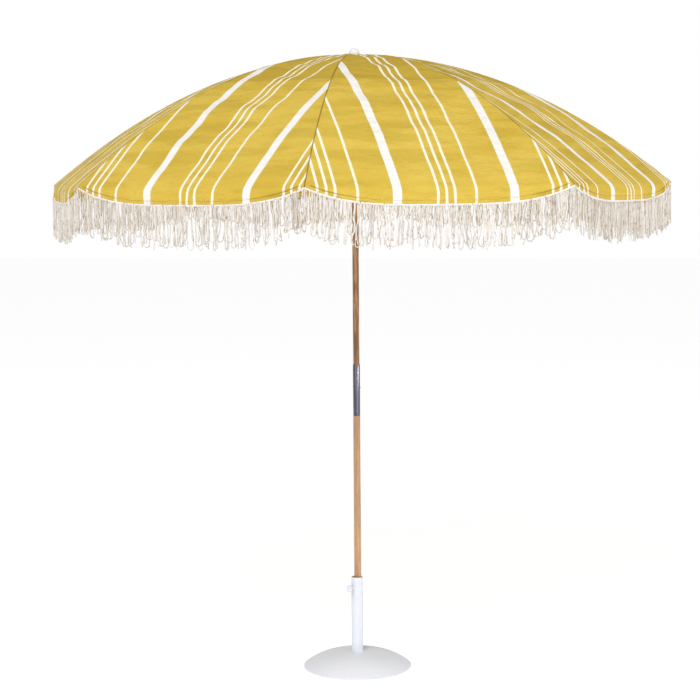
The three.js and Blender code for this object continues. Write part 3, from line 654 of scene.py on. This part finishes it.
def add_wing(rib):
    """The canopy on both sides of one rib, as far as the middles of its two gores."""
    radii = np.linspace(CLOTH_START, RADIUS, CANOPY_ROWS)[:, None]
    halves = []
    for side in (-1, 1):
        gore, at_rib = gore_side(rib, side)
        sides = at_rib * (1 - rib_shares)[None, :] + 0 * radii
        points = canopy_point(gore, radii, sides)
        normals = normals_of(lambda a, b: canopy_point(gore, a, b), radii, sides)
        normals *= np.sign(normals[..., 2:])
        cloth, edges = cloth_uvs(sides, radii, radii + 0 * sides, 1 + 0 * sides)
        halves.append((points, normals, cloth, edges))
    left, right = halves
    points = np.concatenate([left[0][:, :0:-1], right[0]], 1)
    ridge = left[1][:, 0] + right[1][:, 0]
    ridge /= np.linalg.norm(ridge, axis=-1, keepdims=True)
    normals = np.concatenate([left[1][:, :0:-1], ridge[:, None], right[1][:, 1:]], 1)
    uvs = {}
    for layer_name, item in (("cloth", 2), ("edges", 3)):
        first = corners(left[item][:, ::-1]).reshape(CANOPY_ROWS - 1, -1, 2)
        second = corners(right[item]).reshape(CANOPY_ROWS - 1, -1, 2)
        uvs[layer_name] = np.concatenate([first, second], 1).reshape(-1, 2)
    wing = sheet_mesh(f"canopy_cloth_{rib}", points, normals, uvs)
    finish_piece(wing, "canvas", f"rib_{rib}", f"canopy_{rib}")
    return wing


def fold_towards_rib(piece):
    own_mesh(piece)


def add_valance(rib, side, name):
    """The hanging hem on one side of a rib tip."""
    gore, at_rib = gore_side(rib, side)
    shares = rib_shares if side > 0 else rib_shares[::-1]
    sides = at_rib * (1 - shares)[None, :]
    down = np.linspace(0, 1, VALANCE_ROWS)[:, None]
    sides, down = sides + 0 * down, down + 0 * sides
    points = valance_point(gore, sides, down)
    normals = normals_of(lambda a, b: valance_point(gore, b, a), down, sides * (1 - 1e-3))
    outward, _ = gore_axes(gore)
    normals *= np.sign(normals @ outward + 1e-9)[..., None]
    cloth, edges = cloth_uvs(sides, RADIUS, RADIUS + down * hem_drop(sides), (1 - down) * hem_drop(sides))
    uvs = {"cloth": corners(cloth), "edges": corners(edges)}
    piece = sheet_mesh(name, points, normals, uvs)
    finish_piece(piece, "canvas", f"hem_{rib}", f"valance_{rib}")
    return piece


def add_fringe(rib, side, name):
    """The fringe's woven band and its strands, on one side of a rib tip."""
    gore, at_rib = gore_side(rib, side)
    outward, rightward = gore_axes(gore)
    sides = at_rib * (1 - (rib_shares if side > 0 else rib_shares[::-1]))[None, :]
    below = np.array([-HEADER_ABOVE, 0.0, HEADER_BELOW])[:, None] + 0 * sides
    sides = sides + 0 * below
    band_front = valance_point(gore, sides, 1.0, below, HEADER_THICKNESS)
    band_back = band_front - HEADER_THICKNESS * outward
    rows, columns = band_front.shape[:2]
    vertices = [np.concatenate([band_front.reshape(-1, 3), band_back.reshape(-1, 3)])]
    faces = [
        grid_faces(rows, columns),
        grid_faces(rows, columns, rows * columns, True),
        edge_faces(rows, columns),
    ]
    uvs = [np.full((sum(len(f) for f in faces) * 4, 2), 0.02)]
    used = len(vertices[0])
    for strands in (loose_ends, loops):
        paths, radii, tints = strands(gore, at_rib, rightward, outward)
        tube_vertices, tube_faces, tube_uvs = tubes(paths, radii, outward, tints)
        vertices.append(tube_vertices)
        faces.append(tube_faces + used)
        uvs.append(tube_uvs)
        used += len(tube_vertices)
    piece = show(name, np.concatenate(vertices), np.concatenate(faces), {"cloth": np.concatenate(uvs)})
    finish_piece(piece, "fringe_cotton", f"hem_{rib}", f"fringe_{rib}")
    return piece


def wander(count, depth, size):
    """Sideways drift of each strand, growing with its depth from 0 to 1."""
    phase = rng.uniform(0, 2 * math.pi, (2, count, 1))
    turns = rng.uniform(0.5, 2.6, (2, count, 1))
    swing = rng.normal(0, size, (2, count, 1))
    slow = swing[0] * np.sin(turns[0] * depth * 2.4 + phase[0])
    quick = 0.5 * swing[1] * np.sin(turns[1] * depth * 6 + phase[1])
    return (slow + quick) * np.minimum(1, depth * 1.8)


def gather(across, depth):
    """Draws strands towards clumps as they go down."""
    clump = (np.floor(across / CLUMP_SPACING) + 0.5) * CLUMP_SPACING
    return across + (clump - across) * CLUMP_PULL * depth**1.3


def hang(gore, across, start_side, depth, length, rightward, outward):
    """Strand paths that hang from the hem. across is metres right of the gore's centre line."""
    base = valance_point(gore, start_side, 1.0, 0.0, HEADER_THICKNESS / 2)[:, None]
    start = start_side[:, None] * HALF_CHORD
    out = wander(len(across), depth, SWAY_OUT)[..., None] * outward
    fall = (depth * length)[..., None] * np.array([0, 0, 1])
    return base + (across - start)[..., None] * rightward + out - fall


def loose_ends(gore, at_rib, rightward, outward):
    depth = np.linspace(0, 1, 9)[None]
    share = (np.arange(LOOSE_ENDS) + rng.uniform(0.1, 0.9, LOOSE_ENDS)) / LOOSE_ENDS
    side = at_rib * share
    length = FRINGE_LENGTH * rng.uniform(*LOOSE_REACH, (LOOSE_ENDS, 1))
    across = gather(side[:, None] * HALF_CHORD, depth) + wander(LOOSE_ENDS, depth, LOOSE_SWAY)
    paths = hang(gore, across, side, depth + 0 * across, length, rightward, outward)
    radii = STRAND_RADIUS * rng.uniform(0.8, 1.15, LOOSE_ENDS)
    return paths, radii, rng.uniform(0, 1, LOOSE_ENDS)


def loops(gore, at_rib, rightward, outward):
    share = (np.arange(LOOPS) + rng.uniform(0.1, 0.9, LOOPS)) / LOOPS
    side = at_rib * share
    width = rng.uniform(*LOOP_WIDTH, (LOOPS, 1))
    length = FRINGE_LENGTH * rng.uniform(*LOOP_REACH, (LOOPS, 1))
    leg = np.linspace(0, LOOP_BEND, 6)
    bow = np.linspace(0, math.pi, 7)[1:-1]
    depth = np.concatenate([leg, LOOP_BEND + (1 - LOOP_BEND) * np.sin(bow), leg[::-1]])[None]
    sideways = np.concatenate([-np.ones(6), -np.cos(bow), np.ones(6)])[None]
    across = side[:, None] * HALF_CHORD + wander(LOOPS, depth, LOOP_SWAY)
    across = across + sideways * width / 2 * (0.35 + 0.65 * depth)
    paths = hang(gore, across, side, depth + 0 * across, length, rightward, outward)
    radii = STRAND_RADIUS * rng.uniform(0.85, 1.2, LOOPS)
    return paths, radii, rng.uniform(0, 1, LOOPS)


def add_hem(rib, side):
    letter = "a" if side < 0 else "b"
    gore, at_rib = gore_side(rib, side)
    piece = add_valance(rib, side, f"valance_cloth_{rib}{letter}")
    fringe = add_fringe(rib, side, f"fringe_strands_{rib}{letter}")
    for soft in (piece, fringe):
        fold_towards_rib(soft)


for rib_number in range(1, RIBS + 1):
    wing = add_wing(rib_number)
    fold_towards_rib(wing)
    for hand in (-1, 1):
        add_hem(rib_number, hand)

# ---------------------------------------------------------------- turned pieces


def round_box(cad_node):
    """The centre, radius, foot and top of a round upright CAD node."""
    low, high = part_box(cad_node)
    return ((low.x + high.x) / 2, (low.y + high.y) / 2), (high.x - low.x) / 2, low.z, high.z


def add_turned(name, cad_node, slot, body, profile, centre, segments=96):
    piece = turned(name, profile, centre, segments)
    finish_piece(piece, slot, body, cad_node)
    return piece


def add_base():
    centre, radius, _, high = round_box("base_disc")
    tube_centre, tube_radius, tube_low, tube_top = round_box("base_tube")
    collar = tube_radius + COLLAR_WIDTH
    profile = [(0, 0), (radius - 0.002, 0), (radius - 0.0006, 0.0006), (radius, 0.002)]
    profile.append((radius, DOME_EDGE - 0.001))
    for step in range(1, 33):
        across = math.cos(step / 32 * math.pi / 2)
        rise = (DOME_HEIGHT - DOME_EDGE) * (1 - across**DOME_POWER)
        profile.append((collar + (radius - collar) * across, DOME_EDGE + rise))
    profile += [(collar, high - 0.001), (collar - 0.001, high)]
    profile += [(tube_radius + 0.0002, high), (0, high - 0.004)]
    add_turned("base_dome", "base_disc", "base_paint", "base", profile, centre, 192)
    bore = tube_radius - TUBE_WALL
    profile = [(bore, tube_low), (tube_radius, tube_low), (tube_radius, tube_top - 0.0012)]
    profile += [(tube_radius - 0.0008, tube_top), (bore + 0.0008, tube_top)]
    profile += [(bore, tube_top - 0.0012), (bore, tube_low)]
    add_turned("socket_tube", "base_tube", "base_paint", "base", profile, tube_centre)


def add_pole():
    centre, radius, low, _ = round_box("lower_pole")
    ferrule_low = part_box("ferrule")[0].z
    profile = [(0, low), (POLE_POINT_RADIUS, low), (radius, low + POLE_POINT_LENGTH)]
    profile.append((radius, ferrule_low - 0.0012))
    profile += [(radius - 0.001, ferrule_low - 0.0003), (0, ferrule_low - 0.0003)]
    add_turned("lower_pole_wood", "lower_pole", "lower_wood", "lower_pole", profile, centre)
    centre, radius, low, high = round_box("ferrule")
    bore = radius - FERRULE_WALL
    profile = [(bore, low), (radius - 0.0003, low), (radius, low + 0.0006), (radius, high - 0.0006)]
    profile += [(radius - 0.0003, high), (bore, high), (bore, low)]
    add_turned("ferrule_tube", "ferrule", "ferrule_steel", "lower_pole", profile, centre)
    centre, radius, low, high = round_box("upper_pole")
    profile = [(0, low), (radius, low), (radius, high), (0, high)]
    add_turned("upper_pole_wood", "upper_pole", "upper_wood", "upper_pole", profile, centre)


def add_top():
    centre, radius, low, high = round_box("finial")
    edge = low + FINIAL_EDGE
    profile = [(0, low + 0.0004), (radius - 0.0006, low + 0.0004), (radius, low + 0.001)]
    profile.append((radius, edge))
    for step in range(1, 17):
        angle = step / 16 * math.pi / 2
        profile.append((radius * math.cos(angle), edge + (high - edge) * math.sin(angle)))
    add_turned("finial_cap", "finial", "white_nylon", "upper_pole", profile, centre)
    _, _, _, high = round_box("top_patch")
    outer = PATCH_RADIUS
    profile = [(PATCH_BORE, high + 0.0003), (outer - 0.001, high + 0.0001), (outer, high - 0.0006)]
    profile += [(outer - 0.001, high - 0.001), (PATCH_BORE, high - 0.001), (PATCH_BORE, high + 0.0003)]
    patch = add_turned("top_patch_cloth", "top_patch", "canvas", "upper_pole", profile, centre)


add_base()
add_pole()
add_top()

# ---------------------------------------------------------------- stage, lights and camera

CAMERA_DISTANCE = 6.226  # level distance from the pole
CAMERA_HEIGHT = 1.784
CAMERA_AZIMUTH = math.radians(7.74)  # from -Y towards +X
CAMERA_PITCH = math.radians(5.79)
CAMERA_YAW = math.radians(0.205)  # aim to the left of the pole
CAMERA_ROLL = math.radians(0.41)
LENS = 90.1
SKY = 0.46  # brightness overhead, where the walls all round are 1
SKY_BAND = (0.12, 0.26)  # upward part of the direction between which the walls fade into the sky
FLOOR_HALF = 30.0
FLOOR_DROP = 0.0005  # keeps the floor off the underside of the base


def add_stage():
    signs = ((-1, -1), (1, -1), (1, 1), (-1, 1))
    vertices = [(x * FLOOR_HALF, y * FLOOR_HALF, -FLOOR_DROP) for x, y in signs]
    floor = show("floor", vertices, [(0, 1, 2, 3)])
    floor.data.materials.append(floor_paint)
    world = bpy.data.worlds.new("studio")
    world.use_nodes = True
    tree = world.node_tree
    way = node(tree, "ShaderNodeSeparateXYZ")
    tree.links.new(node(tree, "ShaderNodeTexCoord").outputs["Generated"], way.inputs[0])
    band = fade(tree, way.outputs[2], *SKY_BAND)
    tree.nodes["Background"].inputs[0].default_value = (1, 1, 1, 1)
    tree.links.new(maths(tree, "MULTIPLY_ADD", band, 1 - SKY, SKY), tree.nodes["Background"].inputs[1])
    bpy.context.scene.world = world
    bpy.context.scene.view_settings.view_transform = "Standard"


def add_light(name, spot, aim, size, power, spread=180):
    """A round area light. power is in watts and spread in degrees."""
    light = bpy.data.lights.new(name, "AREA")
    light.shape = "DISK"
    light.size = size
    light.energy = power
    light.spread = math.radians(spread)
    obj = bpy.data.objects.new(name, light)
    obj.location = spot
    obj.rotation_euler = (Vector(aim) - Vector(spot)).to_track_quat("-Z", "Y").to_euler()
    bpy.context.scene.collection.objects.link(obj)


def add_camera():
    camera = bpy.data.objects.new("camera", bpy.data.cameras.new("camera"))
    camera.data.lens = LENS
    camera.data.sensor_width = 36
    camera.data.clip_end = 200
    level = Vector((-math.sin(CAMERA_AZIMUTH), math.cos(CAMERA_AZIMUTH), 0))
    right = Vector((math.cos(CAMERA_AZIMUTH), math.sin(CAMERA_AZIMUTH), 0))
    level, right = (
        level * math.cos(CAMERA_YAW) - right * math.sin(CAMERA_YAW),
        right * math.cos(CAMERA_YAW) + level * math.sin(CAMERA_YAW),
    )
    ahead = level * math.cos(CAMERA_PITCH) - Vector((0, 0, math.sin(CAMERA_PITCH)))
    up = right.cross(ahead)
    up, right = (
        up * math.cos(CAMERA_ROLL) + right * math.sin(CAMERA_ROLL),
        right * math.cos(CAMERA_ROLL) - up * math.sin(CAMERA_ROLL),
    )
    turn = Matrix((right, up, -ahead)).transposed().to_4x4()
    spot = Vector((math.sin(CAMERA_AZIMUTH), -math.cos(CAMERA_AZIMUTH), 0)) * CAMERA_DISTANCE
    spot.z = CAMERA_HEIGHT
    camera.matrix_world = Matrix.Translation(spot) @ turn
    bpy.context.scene.collection.objects.link(camera)
    bpy.context.scene.camera = camera


add_stage()
add_light("key", (-1.2, -5.0, 6.6), (0, 0, 1.6), 2.4, 275)
add_light("right", (5.5, -2.6, 2.0), (0.8, -0.3, 1.7), 2.0, 100)
add_light("low", (-0.5, -2.6, 2.0), (0, 0, 0.03), 0.8, 1.2, spread=40)
add_camera()
